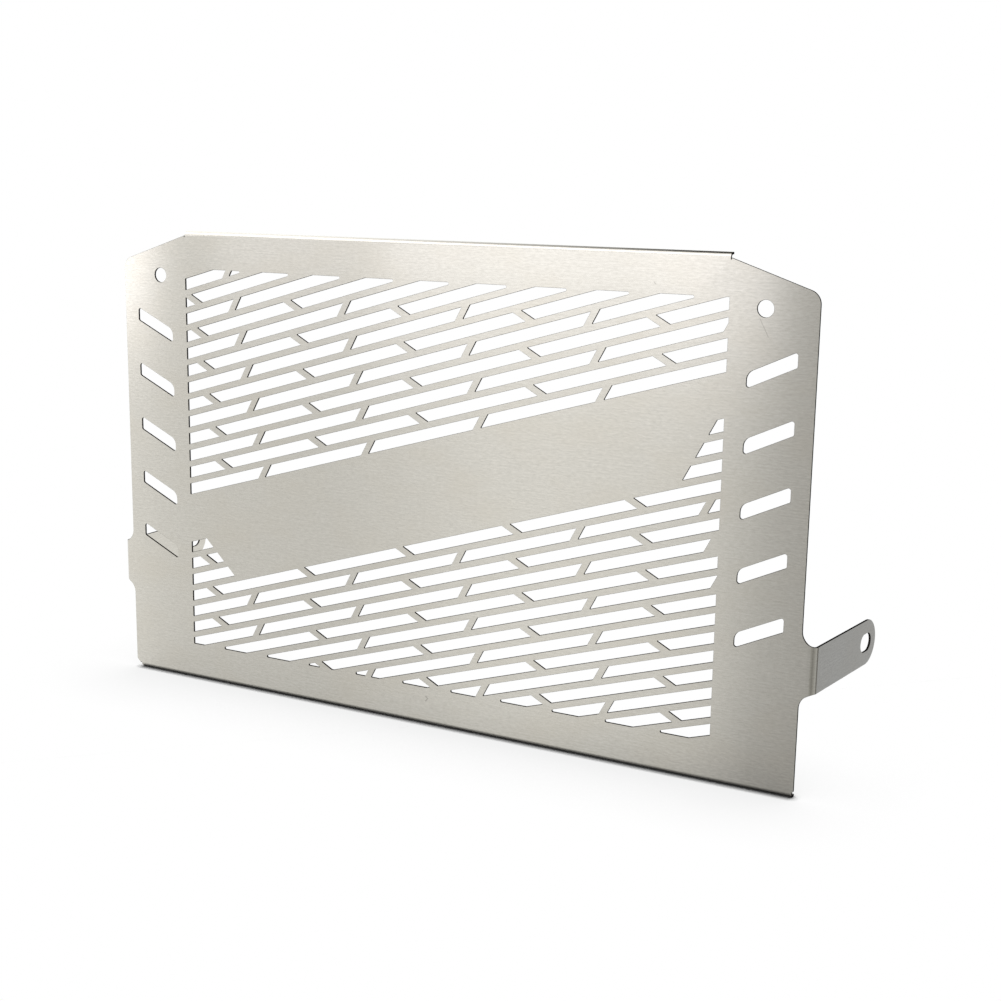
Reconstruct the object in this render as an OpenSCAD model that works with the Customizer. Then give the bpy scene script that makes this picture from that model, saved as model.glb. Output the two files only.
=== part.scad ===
// Motorcycle radiator guard: one laser-cut, folded sheet of brushed stainless steel.
// The front face is the plane y = 0 and looks towards -Y. Lips and tabs fold back towards +Y.
// The origin is midway between the two upper mounting holes, on the front face.

/* [Sheet] */
// Thickness of the sheet
sheet_t = 1; // [0.8:0.1:1.5]
// Width of the flat plate
plate_w = 349.4; // [346:0.2:356]
// Height of the top fold line above the mounting holes
fold_rise = 19; // [15:0.5:26]
// Height of the flat plate, from its bottom fold line to its top fold line
plate_h = 217.3; // [211:0.1:229]

/* [Shoulders] */
// Width across the tops of the two sloping shoulders
shoulder_w = 275; // [240:0.2:300]
// Slope of each shoulder in degrees
shoulder_slope = 18.7; // [12:0.1:22]
// Radius of the outer corner of each shoulder
shoulder_r = 6; // [2:0.5:12]

/* [Lips] */
// Depth of the folded lips, front face to free edge
lip_depth = 3.5; // [3.2:0.1:12]
// Inside radius of the lip folds
lip_r = 1.5; // [1:0.1:2]
// Width of the bottom lip
bottom_lip_w = 346; // [300:0.2:346]
// Sideways offset of the bottom lip, to the right
bottom_lip_shift = 1; // [-1.3:0.1:1.3]
// Width and depth of the relief slit beside a fold
relief = 0.3; // [0.3:0.1:1]
// How far the flat metal beside a lip runs past the fold line
past_fold = 0.3; // [0.3:0.1:1.2]
// Width of the chamfer on the lower left corner
corner_cut = 2; // [0.8:0.1:2]

/* [Upper holes] */
// Diameter of the two upper mounting holes
hole_d = 7; // [5:0.1:9]
// Distance between the upper mounting holes
hole_span = 305; // [300:0.2:312]

/* [Window] */
// Width of the slotted window
window_w = 274.6; // [262:0.2:278]
// Top edge of the window above the mounting holes
window_rise = 3.8; // [0:0.1:8]
// Height of the slotted window
window_h = 186.8; // [180:0.2:190]
// Metal left between two rows of slots
bar_w = 2.86; // [2:0.02:4]
// Metal left between two slots of one row
web_w = 2.95; // [2:0.05:5]
// Slope of the webs against their row, in degrees
web_slope = 45; // [35:0.5:60]
// Spacing of the web columns
web_pitch = 61.2; // [50:0.1:72]
// Shortest slot that is still cut where a web stands near the window's side
min_slot = 1; // [0:0.1:2]

/* [Upper rows] */
// Slope of the rows above the band, in degrees
upper_slope = 16.3; // [12:0.1:20]
// Spacing of the rows above the band
upper_pitch = 8; // [7:0.05:10]
// Centre line of the lowest row, below the origin and square to the rows
upper_first = 61.1; // [56:0.1:66]
// Place of the rising web nearest the middle, along that row
upper_rising = 8; // [0:0.1:16]
// Spacing of the rising webs left of the middle
upper_rising_left = 61; // [50:0.1:72]
// Place of the falling web nearest the middle, along that row
upper_falling = -23.6; // [-30:0.1:-16]
// Spacing of the falling webs left of the middle
upper_falling_left = 57.1; // [50:0.1:72]
// Sideways drift of the web columns per unit of height
upper_drift = 0.083; // [0:0.001:0.2]

/* [Lower rows] */
// Slope of the rows below the band, in degrees
lower_slope = 17.3; // [12:0.1:20]
// Spacing of the rows below the band
lower_pitch = 7.7; // [7:0.05:10]
// Centre line of the highest full row, below the origin and square to the rows
lower_first = 110.2; // [106:0.1:116]
// Place of the rising web nearest the middle, along that row
lower_rising = -20.6; // [-28:0.1:-14]
// Spacing of the rising webs left of the middle
lower_rising_left = 60.4; // [50:0.1:72]
// Place of the falling web nearest the middle, along that row
lower_falling = 9; // [0:0.1:16]
// Spacing of the falling webs left of the middle
lower_falling_left = 57.7; // [50:0.1:72]
// Sideways drift of the web columns per unit of height
lower_drift = 0.091; // [0:0.001:0.2]

/* [Band ends] */
// Short rows beside each end of the plain band
end_rows = 3; // [0:1:3]
// Spacing of the short rows
end_pitch = 7.95; // [7:0.05:9]
// Angle of the cut at the right end of the band, in degrees
right_cut = 62; // [45:0.5:80]
// Distance from the window's right side to that cut, at its middle height
right_cut_in = 8.5; // [4:0.1:20]
// Angle of the cut at the left end of the band, in degrees
left_cut = 135; // [115:0.5:145]
// Distance from the window's left side to that cut, at its middle height
left_cut_in = 23.6; // [8:0.1:30]

/* [Side slots] */
// Slots at each side of the plate
side_count = 5; // [1:1:6]
// Spacing of the side slots
side_pitch = 27; // [16:0.5:28]
// Centre of the first side slot below the mounting holes
side_first = 24.2; // [18:0.1:26]
// Length of a side slot across the plate
side_len = 20.8; // [14:0.1:24]
// Height of a side slot, straight up
side_h = 6.25; // [4:0.05:9]
// Slope of the side slots, in degrees
side_slope = 25; // [10:0.5:35]
// Metal left between a side slot and the edge of the plate
side_edge = 8; // [6:0.1:12]
// Large radius on the upper inner corner of a side slot
side_r = 4.6; // [2:0.1:5]
// Radius on the other corners of a side slot
side_small_r = 1; // [0.5:0.1:1.3]

/* [Tabs] */
// Width of a folded mounting tab
tab_w = 20; // [16:0.5:26]
// Length of a tab past its fold, to the tip
tab_len = 60; // [40:0.5:90]
// Centre line of the tabs below the mounting holes
tab_drop = 145.2; // [120:0.1:160]
// Flat neck between the edge of the plate and the fold
tab_neck = 2.3; // [1.5:0.1:6]
// Inside radius of the fold at a tab
tab_r = 3; // [2:0.1:5]
// Fillet between the edge of the plate and a tab, which ends before the fold does
root_r = 5; // [2:0.1:5]
// Outward splay of the right tab, in degrees
right_splay = 7.3; // [0:0.1:15]
// Outward splay of the left tab, in degrees
left_splay = 0; // [0:0.1:15]
// Width of the oblong hole in a tab
oblong_w = 8; // [5:0.1:10]
// Length of the oblong hole in a tab
oblong_len = 11; // [10.5:0.1:20]
// Distance from the tip of a tab to the middle of its hole
oblong_in = 10.5; // [9:0.1:16]

/* [Hidden] */
$fn = 72;

steel = [0.77, 0.76, 0.73];
half_w = plate_w / 2;
half_window = window_w / 2;
fold_drop = plate_h - fold_rise;
window_low = window_rise - window_h;
lip_out = lip_r + sheet_t;
top_lip_w = shoulder_w - 2 * relief;
tab_out = tab_r + sheet_t;

// Rows whose centre line still crosses the window, counted away from the band
upper_rows = 1 + floor((upper_first + half_window * sin(upper_slope)
    + window_rise * cos(upper_slope)) / upper_pitch);
lower_rows = 1 + floor((half_window * sin(lower_slope)
    - window_low * cos(lower_slope) - lower_first) / lower_pitch);

// Middle heights of the two ends of the band, where their cuts are placed
right_mid = (end_pitch - lower_first + half_window * sin(lower_slope)) / cos(lower_slope)
    + end_pitch;
left_mid = (end_pitch - lower_first - half_window * sin(lower_slope)) / cos(lower_slope)
    + end_pitch;

// Plan helpers

// Convex polygon with each corner rounded to its own radius
module rounded(points, radii) {
    n = len(points);
    function unit(v) = v / norm(v);
    difference() {
        polygon(points);
        for (i = [0:n - 1])
            if (radii[i] > 0) {
                back = unit(points[(i + n - 1) % n] - points[i]);
                ahead = unit(points[(i + 1) % n] - points[i]);
                half_turn = acos(back * ahead) / 2;
                corner = -unit(back + ahead) * radii[i] / sin(half_turn);
                reach = radii[i] / tan(half_turn);
                // The sector of the corner, outside its arc. The circle is a hair larger, so
                // that it crosses both sides instead of only touching them.
                translate(points[i] - corner) difference() {
                    polygon([[0, 0], 2 * (corner + reach * back), 2 * corner,
                        2 * (corner + reach * ahead)]);
                    circle(radii[i] + 0.002);
                }
            }
    }
}

// Quarter of a bent sheet followed by a straight flange, seen along the fold line
module folded_section(outer, depth) {
    intersection() {
        translate([outer, 0]) difference() {
            circle(outer);
            circle(outer - sheet_t);
        }
        square([outer, outer]);
    }
    translate([outer, outer - sheet_t]) square([depth - outer, sheet_t]);
}

// Blank

// Flat outline up to the two fold lines, without the necks of the tabs
module plate_outline() {
    top = fold_rise + past_fold;
    drop = (half_w - shoulder_w / 2) * tan(shoulder_slope);
    low = -fold_drop;
    lip_left = bottom_lip_shift - bottom_lip_w / 2;
    lip_right = bottom_lip_shift + bottom_lip_w / 2;
    difference() {
        union() {
            rounded([
                [-half_w, low], [half_w, low], [half_w, top - drop],
                [shoulder_w / 2, top], [-shoulder_w / 2, top], [-half_w, top - drop]
            ], [0, 0, shoulder_r, 0, 0, shoulder_r]);
            // Flat metal beside the left end of the bottom lip
            translate([-half_w, low - past_fold])
                square([lip_left - relief + half_w, 2 * past_fold]);
        }
        // Room for the top lip, with a relief slit at each end
        translate([-shoulder_w / 2, fold_rise]) square([shoulder_w, 2 * past_fold]);
        for (s = [-1, 1])
            translate([s * (shoulder_w - relief) / 2, fold_rise])
                square([relief, 2 * relief], center = true);
        // Chamfer on the lower left corner
        translate([-half_w, low - past_fold]) rotate(45)
            square(sqrt(2) * corner_cut, center = true);
        // Slope on the lower right corner, past the end of the lip
        polygon([[lip_right, low], [half_w, low + 2 * relief],
            [2 * half_w - lip_right, low + 2 * relief], [2 * half_w - lip_right, low - relief],
            [lip_right, low - relief]]);
    }
}

// Neck of a tab seen from the front, with a fillet above and below it
module tab_neck_outline() {
    r = min(root_r, tab_neck + tab_r * cos(max(right_splay, left_splay)) - 0.2);
    difference() {
        translate([half_w - 1, -tab_w / 2 - r])
            square([1 + tab_neck + 2 * tab_out, tab_w + 2 * r]);
        for (s = [-1, 1]) {
            translate([half_w + r, s * (tab_w / 2 + r)]) circle(r);
            translate([half_w + r, s * (tab_w / 2 + r) - r])
                square([tab_neck + 2 * tab_out, 2 * r]);
        }
    }
}

// Slots

// One row of slots in the frame of its block: a strip cut through by slanting webs. A web
// whose middle is above or below the window is left out, and one that would leave a slot
// shorter than min_slot is widened to the side of the window.
module slot_row(tilt, v, height, slope, middle, left_pitch) {
    reach = half_window + upper_first + lower_first;
    half_web = web_w / sin(web_slope) / 2;
    difference() {
        translate([-reach, v - height / 2]) square([2 * reach, height]);
        for (i = [-4:4]) {
            u = middle + i * (i < 0 ? left_pitch : web_pitch);
            level = u * sin(tilt) + v * cos(tilt);
            side = u < 0 ? -1 : 1;
            // From the web to the side of the window, along the row
            rest = side * ((side * half_window + v * sin(tilt)) / cos(tilt) - u) - half_web;
            if (level < window_rise && level > window_low)
                translate([u, v]) rotate(slope) square([4 * height, web_w], center = true);
            if (rest > 0 && rest < min_slot)
                translate([u + side * (half_web + min_slot), v]) rotate(slope)
                    square([4 * height, 2 * (min_slot + web_w)], center = true);
        }
    }
}

// Rows above the band, counted upwards: rising webs in the first, falling webs in the next
module upper_block() {
    rotate(upper_slope)
        for (k = [0:upper_rows - 1]) {
            v = k * upper_pitch - upper_first;
            drift = upper_drift * upper_pitch * k;
            if (k % 2 == 0)
                slot_row(upper_slope, v, upper_pitch - bar_w, web_slope,
                    upper_rising + drift, upper_rising_left);
            else
                slot_row(upper_slope, v, upper_pitch - bar_w, -web_slope,
                    upper_falling + drift, upper_falling_left);
        }
}

// Rows below the band, counted downwards: falling webs in the first, rising webs in the next
module lower_block() {
    rotate(lower_slope)
        for (k = [0:lower_rows - 1]) {
            v = -lower_first - k * lower_pitch;
            drift = -lower_drift * lower_pitch * k;
            if (k % 2 == 0)
                slot_row(lower_slope, v, lower_pitch - bar_w, -web_slope,
                    lower_falling + drift, lower_falling_left);
            else
                slot_row(lower_slope, v, lower_pitch - bar_w, web_slope,
                    lower_rising + drift, lower_rising_left);
        }
}

// Short rows beside the ends of the band, counted upwards from the first row below it. Every
// second one carries the falling webs on, and the others have none.
module short_rows() {
    if (end_rows > 0)
        intersection() {
            rotate(lower_slope)
                for (k = [1:end_rows]) {
                    v = k * end_pitch - lower_first;
                    height = end_pitch - bar_w;
                    if (k % 2 == 0)
                        slot_row(lower_slope, v, height, -web_slope,
                            lower_falling + lower_drift * end_pitch * k, lower_falling_left);
                    else
                        translate([-half_window - lower_first, v - height / 2])
                            square([2 * (half_window + lower_first), height]);
                }
            beyond_band();
        }
}

// What lies beyond the two slanting cuts that end the plain band
module beyond_band() {
    size = window_h;
    translate([half_window - right_cut_in, right_mid]) rotate(right_cut - 180)
        translate([-size, 0]) square([2 * size, size]);
    translate([left_cut_in - half_window, left_mid]) rotate(left_cut)
        translate([-size, 0]) square([2 * size, size]);
}

// All the slots of the window
module window_slots() {
    intersection() {
        translate([-half_window, window_low]) square([window_w, window_h]);
        union() {
            upper_block();
            lower_block();
            short_rows();
        }
    }
}

// One side slot, drawn for the right side, its inner upper corner generously rounded
module side_slot() {
    rise = side_len / 2 * tan(side_slope);
    translate([half_w - side_edge - side_len / 2, 0])
        rounded([
            [-side_len / 2, -rise - side_h / 2], [side_len / 2, rise - side_h / 2],
            [side_len / 2, rise + side_h / 2], [-side_len / 2, -rise + side_h / 2]
        ], [side_small_r, side_small_r, side_small_r, side_r]);
}

// Every opening of the flat plate
module openings() {
    window_slots();
    for (s = [0, 1]) mirror([s, 0]) {
        translate([hole_span / 2, 0]) circle(d = hole_d);
        for (i = [0:side_count - 1]) translate([0, -side_first - i * side_pitch]) side_slot();
    }
}

// Sheet

// Flat plate, standing, with its front face on y = 0
module plate() {
    translate([0, sheet_t, 0]) rotate([90, 0, 0]) linear_extrude(sheet_t)
        difference() {
            union() {
                plate_outline();
                for (s = [0, 1]) mirror([s, 0]) translate([0, -tab_drop])
                    intersection() {
                        tab_neck_outline();
                        translate([0, -tab_w - root_r])
                            square([half_w + tab_neck, 2 * (tab_w + root_r)]);
                    }
            }
            openings();
        }
}

// Lip along a fold line, running back from the plate
module lip(width) {
    translate([-width / 2, 0, 0]) rotate([90, 0, 90]) linear_extrude(width)
        folded_section(lip_out, lip_depth);
}

// Fold and flange of a tab at the right side, splayed outwards by an angle
module tab(splay) {
    translate([0, 0, -tab_drop]) {
        // The fold, trimmed to the filleted neck
        intersection() {
            translate([half_w + tab_neck, tab_out, -tab_w / 2 - root_r])
                linear_extrude(tab_w + 2 * root_r)
                    intersection() {
                        difference() {
                            circle(tab_out);
                            circle(tab_r);
                        }
                        polygon([[0, 0], [0, -2 * tab_out], [2 * tab_out, -2 * tab_out],
                            [2 * tab_out * cos(splay), -2 * tab_out * sin(splay)]]);
                    }
            translate([0, 2 * tab_out, 0]) rotate([90, 0, 0]) linear_extrude(3 * tab_out)
                tab_neck_outline();
        }
        // The flange, with a round tip and an oblong hole
        translate([half_w + tab_neck, tab_out, 0]) rotate([0, 0, -splay])
            translate([tab_r, 0, 0]) rotate([90, 0, 90]) linear_extrude(sheet_t)
                difference() {
                    union() {
                        translate([0, -tab_w / 2]) square([tab_len - tab_w / 2, tab_w]);
                        translate([tab_len - tab_w / 2, 0]) circle(d = tab_w);
                    }
                    for (s = [-1, 1])
                        translate([tab_len - oblong_in + s * (oblong_len - oblong_w) / 2, 0])
                            circle(d = oblong_w);
                    translate([tab_len - oblong_in, 0])
                        square([oblong_len - oblong_w, oblong_w], center = true);
                }
    }
}

module guard_sheet() {
    color(steel) {
        plate();
        translate([0, 0, fold_rise]) lip(top_lip_w);
        translate([bottom_lip_shift, 0, -fold_drop]) mirror([0, 0, 1]) lip(bottom_lip_w);
        tab(right_splay);
        mirror([1, 0, 0]) tab(left_splay);
    }
}

guard_sheet();
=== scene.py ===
"""Looks of a motorcycle radiator guard: one laser-cut, folded sheet of brushed stainless steel.

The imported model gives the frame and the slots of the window. The guard is made again the way
the real one is: a flat blank is cut out, its edges are broken, and then it is folded along its
four fold lines. Lengths are in millimetres until a mesh is written, which is in metres.
"""

import logging
import math
from dataclasses import dataclass, field
from enum import Enum
from functools import partial

import bmesh
import bpy
import numpy as np
from mathutils import Matrix, Vector
from mathutils.geometry import delaunay_2d_cdt

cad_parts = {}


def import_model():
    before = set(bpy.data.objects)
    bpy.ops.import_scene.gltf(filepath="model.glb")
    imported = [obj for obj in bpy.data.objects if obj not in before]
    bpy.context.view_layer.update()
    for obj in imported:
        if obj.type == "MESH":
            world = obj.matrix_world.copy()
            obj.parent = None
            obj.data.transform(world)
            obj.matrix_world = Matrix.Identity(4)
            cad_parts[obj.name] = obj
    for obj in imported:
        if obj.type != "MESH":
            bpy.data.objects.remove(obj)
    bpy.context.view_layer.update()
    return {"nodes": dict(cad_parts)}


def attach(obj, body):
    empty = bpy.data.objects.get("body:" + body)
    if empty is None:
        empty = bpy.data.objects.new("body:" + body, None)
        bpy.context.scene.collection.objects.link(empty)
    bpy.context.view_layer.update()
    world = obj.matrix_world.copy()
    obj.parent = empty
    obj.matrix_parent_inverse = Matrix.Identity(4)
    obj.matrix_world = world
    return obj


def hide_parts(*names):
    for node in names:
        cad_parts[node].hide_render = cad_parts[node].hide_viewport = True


MM = 0.001
SHEET_MAP = "sheet"  # the UV map that holds the blank's own flat coordinates, in metres
CUT_FLAG = "cut"  # marks the faces that the laser left
SHARP_ANGLE = 28.0  # an edge that turns by more degrees than this is shaded sharp
SAME_PLACE = 1e-6  # in metres: vertices closer than this are one
WHITE = (1.0, 1.0, 1.0, 1.0)
FLOOR_HEIGHT = -200.8  # in mm: the guard stands on its bottom lip

# Flat shapes
SIDE_SHARE = 0.45  # most of a side that the arc at one of its ends may take
NEARLY_STRAIGHT = 88.0  # half of a corner's angle in degrees, past which it gets no arc
LEAST_OPENING = 0.3  # keeps a very sharp corner from running away when a loop is moved
CORNER_SINE = 0.02  # sine of the smallest turn that counts as a corner
ON_LINE = 1e-3  # in mm: how near a point lies to a line that it is on
POINTS_AT_ONCE = 500  # points that are looked up together, which limits the memory used

log = logging.getLogger("radiator_guard")

Point = tuple[float, float]
Place = tuple[float, float, float]
Tree = bpy.types.NodeTree
Socket = bpy.types.NodeSocket
Setting = float | bool | str | tuple | Socket


def add_node(
    tree: Tree,
    kind: str,
    inputs: dict[str | int, Setting] | None = None,
    **settings: Setting,
) -> bpy.types.Node:
    """Adds one node, sets it up and links it.

    Args:
        tree: the node tree that gets the node.
        kind: the node's type name.
        inputs: values or output sockets for its inputs, by name or number.
        settings: the node's own properties.

    Returns:
        The new node.
    """
    node = tree.nodes.new(kind)
    for name, value in settings.items():
        setattr(node, name, value)
    for key, value in (inputs or {}).items():
        if isinstance(value, Socket):
            tree.links.new(value, node.inputs[key])
        else:
            node.inputs[key].default_value = value
    return node


def number_sum(tree: Tree, operation: str, *values: Setting) -> Socket:
    """One sum on numbers."""
    return add_node(tree, "ShaderNodeMath", dict(enumerate(values)), operation=operation).outputs[0]


def vector_sum(
    tree: Tree, operation: str, inputs: dict[str | int, Setting], output: str | int = 0
) -> Socket:
    """One sum on vectors."""
    return add_node(tree, "ShaderNodeVectorMath", inputs, operation=operation).outputs[output]


def stretched(
    tree: Tree,
    value: Setting,
    start: Setting = 0.0,
    end: Setting = 1.0,
    low: Setting = 0.0,
    high: Setting = 1.0,
) -> Socket:
    """Maps the range from start to end onto the range from low to high, and holds it there."""
    ends = {"Value": value, "From Min": start, "From Max": end, "To Min": low, "To Max": high}
    return add_node(tree, "ShaderNodeMapRange", ends).outputs["Result"]


def blended(tree: Tree, share: Setting, below: Setting, above: Setting) -> Socket:
    """Mixes two colours."""
    colours = {0: share, 6: below, 7: above}
    return add_node(tree, "ShaderNodeMix", colours, data_type="RGBA").outputs[2]


def noise(tree: Tree, flat: Socket, length: float, width: float, detail: float) -> Socket:
    """Noise whose marks have a real length and width on the sheet.

    Args:
        tree: the material's tree.
        flat: the blank's flat coordinates, in metres.
        length: length of a mark along the sheet, in mm.
        width: width of a mark, in mm.
        detail: octaves of the noise.

    Returns:
        The noise, around 0.5.
    """
    scale = (1 / (length * MM), 1 / (width * MM), 1.0)
    placed = add_node(tree, "ShaderNodeMapping", {"Vector": flat, "Scale": scale})
    sizes = {"Vector": placed.outputs["Vector"], "Scale": 1.0, "Detail": detail}
    return add_node(tree, "ShaderNodeTexNoise", sizes).outputs["Fac"]


def bumped(tree: Tree, height: Socket, strength: float, depth: float) -> Socket:
    """The normal of a surface with grooves of a depth in mm."""
    inputs = {"Height": height, "Strength": strength, "Distance": depth * MM}
    return add_node(tree, "ShaderNodeBump", inputs).outputs["Normal"]


def add_object(name: str, data: bpy.types.ID) -> bpy.types.Object:
    """Makes an object and links it to the scene."""
    thing = bpy.data.objects.new(name, data)
    bpy.context.scene.collection.objects.link(thing)
    return thing


def show(tree: Tree, shader: bpy.types.Node) -> None:
    """Makes a shader the surface of the material."""
    add_node(tree, "ShaderNodeOutputMaterial", {"Surface": shader.outputs[0]})


def linear(colour: str) -> tuple[float, float, float, float]:
    """Turns an sRGB hex colour such as #C8C5BE into linear RGBA."""
    parts = [int(colour[i : i + 2], 16) / 255 for i in (1, 3, 5)]
    return (*(c / 12.92 if c <= 0.04045 else ((c + 0.055) / 1.055) ** 2.4 for c in parts), 1.0)


def new_material(name: str) -> tuple[bpy.types.Material, Tree]:
    """Makes an empty node material.

    Args:
        name: the real material and how its surface was made.

    Returns:
        The material and its cleared node tree.
    """
    material = bpy.data.materials.new(name)
    material.use_nodes = True
    material.node_tree.nodes.clear()
    return material, material.node_tree


# Finishes


@dataclass(frozen=True)
class Scuff:
    """One small mark on a finish: a short line on the flat blank, in mm."""

    start: Point
    end: Point
    width: float
    depth: float


@dataclass(frozen=True)
class BrushedStainless:
    """Stainless steel sheet, brushed with an abrasive belt along its length.

    The belt leaves short fine lines along the sheet, so a reflection is drawn out across the
    lines and stays clearer along them. The grey is slightly warm, with faint cloudy patches.
    """

    name: str = "brushed_stainless_steel"
    light_line: str = "#D9D6CD"
    dark_line: str = "#C7C4BB"
    warm_cloud: str = "#CDC7B9"
    scuff: str = "#77746E"
    roughness: float = 0.17
    roughness_swing: float = 0.008
    anisotropy: float = 0.84
    # Real grit lines are 0.05 to 0.2 mm wide, too fine for the render: they are drawn 0.7 mm wide
    line_length: float = 2.4
    line_width: float = 0.7
    band_length: float = 13.0
    band_width: float = 0.8
    cloud: float = 22.0
    groove_depth: float = 0.012
    groove_strength: float = 0.08
    scuffs: tuple[Scuff, ...] = (
        Scuff((150.3, -3.9), (154.1, -11.0), 0.3, 0.35),
        Scuff((-1.9, -187.3), (-0.9, -188.1), 0.5, 0.5),
        Scuff((-0.9, -188.1), (-1.9, -189.4), 0.5, 0.5),
        Scuff((104.9, 8.2), (105.4, 7.7), 0.5, 0.4),
    )

    def make(self) -> bpy.types.Material:
        """Builds the material from noise that is drawn out along the blank's length."""
        material, tree = new_material(self.name)
        flat = add_node(tree, "ShaderNodeUVMap", uv_map=SHEET_MAP).outputs["UV"]
        calc, blend = partial(number_sum, tree), partial(blended, tree)
        lines = noise(tree, flat, self.line_length, self.line_width, 2.0)
        bands = noise(tree, flat, self.band_length, self.band_width, 2.0)
        clouds = noise(tree, flat, self.cloud * 1.6, self.cloud, 3.0)
        # The bands count half as much as the lines
        fine = stretched(tree, lines, 0.3, 0.7)
        broad = stretched(tree, bands, 0.3, 0.7, high=0.5)
        tone = calc("DIVIDE", calc("ADD", fine, broad), 1.5)
        streaks = blend(tone, linear(self.dark_line), linear(self.light_line))
        cloudy = stretched(tree, clouds, 0.45, 0.7, high=0.3)
        clouded = blend(cloudy, streaks, linear(self.warm_cloud))
        marks = 0.0
        for scuff in self.scuffs:
            marks = calc("MAXIMUM", self.mark(tree, flat, scuff), marks)
        colour = blend(marks, clouded, linear(self.scuff))
        duller, clearer = self.roughness + self.roughness_swing, self.roughness - self.roughness_swing
        rough = stretched(tree, tone, low=duller, high=clearer)
        tangent = add_node(
            tree, "ShaderNodeTangent", direction_type="UV_MAP", uv_map=SHEET_MAP
        ).outputs["Tangent"]
        shader = add_node(
            tree,
            "ShaderNodeBsdfPrincipled",
            {
                "Base Color": colour,
                "Metallic": 1.0,
                "Roughness": rough,
                "Normal": bumped(tree, tone, self.groove_strength, self.groove_depth),
                "Tangent": tangent,
                "Anisotropic": self.anisotropy,
                # A quarter turn: the blur lies across the lines
                "Anisotropic Rotation": 0.25,
            },
        )
        show(tree, shader)
        return material

    @staticmethod
    def mark(tree: Tree, flat: Socket, scuff: Scuff) -> Socket:
        """How strongly a point of the sheet carries a scuff, from the distance to its line."""
        vector = partial(vector_sum, tree)
        start = Vector((*scuff.start, 0)) * MM
        run = Vector((*scuff.end, 0)) * MM - start
        offset = vector("SUBTRACT", {0: flat, 1: tuple(start)})
        share = vector("DOT_PRODUCT", {0: offset, 1: tuple(run / run.length_squared)}, "Value")
        held = add_node(tree, "ShaderNodeClamp", {"Value": share}).outputs[0]
        foot = vector("SCALE", {0: tuple(run), "Scale": held})
        nearest = vector("ADD", {0: foot, 1: tuple(start)})
        away = vector("DISTANCE", {0: flat, 1: nearest}, "Value")
        return stretched(tree, away, end=scuff.width * MM, low=scuff.depth, high=0.0)


@dataclass(frozen=True)
class LaserCutStainless:
    """Edge of stainless steel sheet as the laser left it.

    The melt runs down the cut in fine upright ripples and oxidises, so the edge is a dull, nearly
    black brown beside the brushed faces.
    """

    name: str = "laser_cut_stainless_edge"
    grey: str = "#33302C"
    dark: str = "#191715"
    roughness: float = 0.5
    ripple: float = 0.35
    ripple_length: float = 2.5
    ripple_depth: float = 0.03
    ripple_strength: float = 0.4

    def make(self) -> bpy.types.Material:
        """Builds the material from ripples that stand across the sheet's thickness."""
        material, tree = new_material(self.name)
        flat = add_node(tree, "ShaderNodeUVMap", uv_map=SHEET_MAP).outputs["UV"]
        ripples = noise(tree, flat, self.ripple, self.ripple_length, 2.0)
        shade = stretched(tree, ripples, 0.3, 0.7)
        shader = add_node(
            tree,
            "ShaderNodeBsdfPrincipled",
            {
                "Base Color": blended(tree, shade, linear(self.dark), linear(self.grey)),
                "Metallic": 1.0,
                "Roughness": self.roughness,
                # The oxide keeps the edge dark at a glancing angle too
                "Specular Tint": linear(self.dark),
                "Normal": bumped(tree, ripples, self.ripple_strength, self.ripple_depth),
            },
        )
        show(tree, shader)
        return material


# Flat shapes


def turned(points: np.ndarray, clockwise: bool) -> np.ndarray:
    """Puts a closed loop of points into the wanted direction."""
    x, z = points[:, 0], points[:, 1]
    area = np.sum(x * np.roll(z, -1) - np.roll(x, -1) * z)
    return points[::-1] if (area > 0) == clockwise else points


def rounded_loop(
    corners: list[Point] | np.ndarray, radii: list[float] | float, step: float = 15.0
) -> np.ndarray:
    """Rounds the corners of a closed outline.

    Args:
        corners: the sharp corners, in order.
        radii: one radius, or one for each corner. Each is limited by the sides it has.
        step: turn between two points of an arc, in degrees.

    Returns:
        The points of the rounded outline.
    """
    pts = np.asarray(corners, float)
    count = len(pts)
    sizes = [radii] * count if isinstance(radii, (int, float)) else list(radii)
    out: list[np.ndarray] = []
    for i in range(count):
        back, ahead = pts[i - 1] - pts[i], pts[(i + 1) % count] - pts[i]
        room = min(np.linalg.norm(back), np.linalg.norm(ahead)) * SIDE_SHARE
        back, ahead = back / np.linalg.norm(back), ahead / np.linalg.norm(ahead)
        half = math.acos(float(np.clip(back @ ahead, -1, 1))) / 2
        radius = min(sizes[i], room * math.tan(half))
        if radius <= 1e-6 or half > math.radians(NEARLY_STRAIGHT):
            out.append(pts[i])
            continue
        middle = back + ahead
        centre = pts[i] + middle / np.linalg.norm(middle) * radius / math.sin(half)
        start = pts[i] + back * radius / math.tan(half) - centre
        sweep = math.pi - 2 * half
        if back[0] * ahead[1] - back[1] * ahead[0] > 0:
            sweep = -sweep
        steps = max(2, math.ceil(abs(math.degrees(sweep)) / step))
        for k in range(steps + 1):
            c, s = math.cos(sweep * k / steps), math.sin(sweep * k / steps)
            out.append(centre + np.array([c * start[0] - s * start[1], s * start[0] + c * start[1]]))
    return np.array(out)


def moved_in(points: np.ndarray, distance: float) -> np.ndarray:
    """Moves a loop to its left, where the metal is, by a distance."""
    ahead = np.roll(points, -1, 0) - points
    ahead /= np.linalg.norm(ahead, axis=1)[:, None]
    left = np.stack([-ahead[:, 1], ahead[:, 0]], 1)
    before = np.roll(left, 1, 0)
    share = 1 + np.sum(left * before, 1)[:, None]
    return points + (left + before) / np.maximum(share, LEAST_OPENING) * distance


# The guard


class FoldName(Enum):
    """The four folds of the blank."""

    TOP_LIP = "top_lip"
    BOTTOM_LIP = "bottom_lip"
    RIGHT_TAB = "right_tab"
    LEFT_TAB = "left_tab"


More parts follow.
